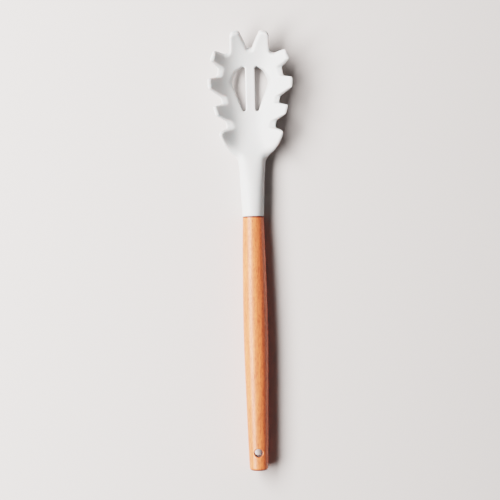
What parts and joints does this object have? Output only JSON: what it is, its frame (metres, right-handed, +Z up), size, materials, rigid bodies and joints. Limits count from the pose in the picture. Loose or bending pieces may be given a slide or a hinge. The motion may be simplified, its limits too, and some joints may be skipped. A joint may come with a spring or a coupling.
{
  "type": "pasta server",
  "caption": "Silicone spaghetti server head with a slotted bowl ringed by tines, on a turned wooden handle with a hanging hole.",
  "frame": {"origin": "under the middle of the tool, on the surface that it lies on", "axes": "+X across the tool, +Y along it from the handle to the tines, +Z up out of the open side of the bowl"},
  "size_m": [0.0646, 0.3319, 0.025],
  "materials": {
    "silicone": "satin",
    "nylon": "matte",
    "beech": "semi-gloss lacquer",
    "adhesive": "gloss"
  },
  "bodies": {
    "root": {"silicone_head": "silicone", "nylon_core": "nylon", "wooden_handle": "beech", "tang_adhesive": "adhesive"}
  },
  "joints": []
}
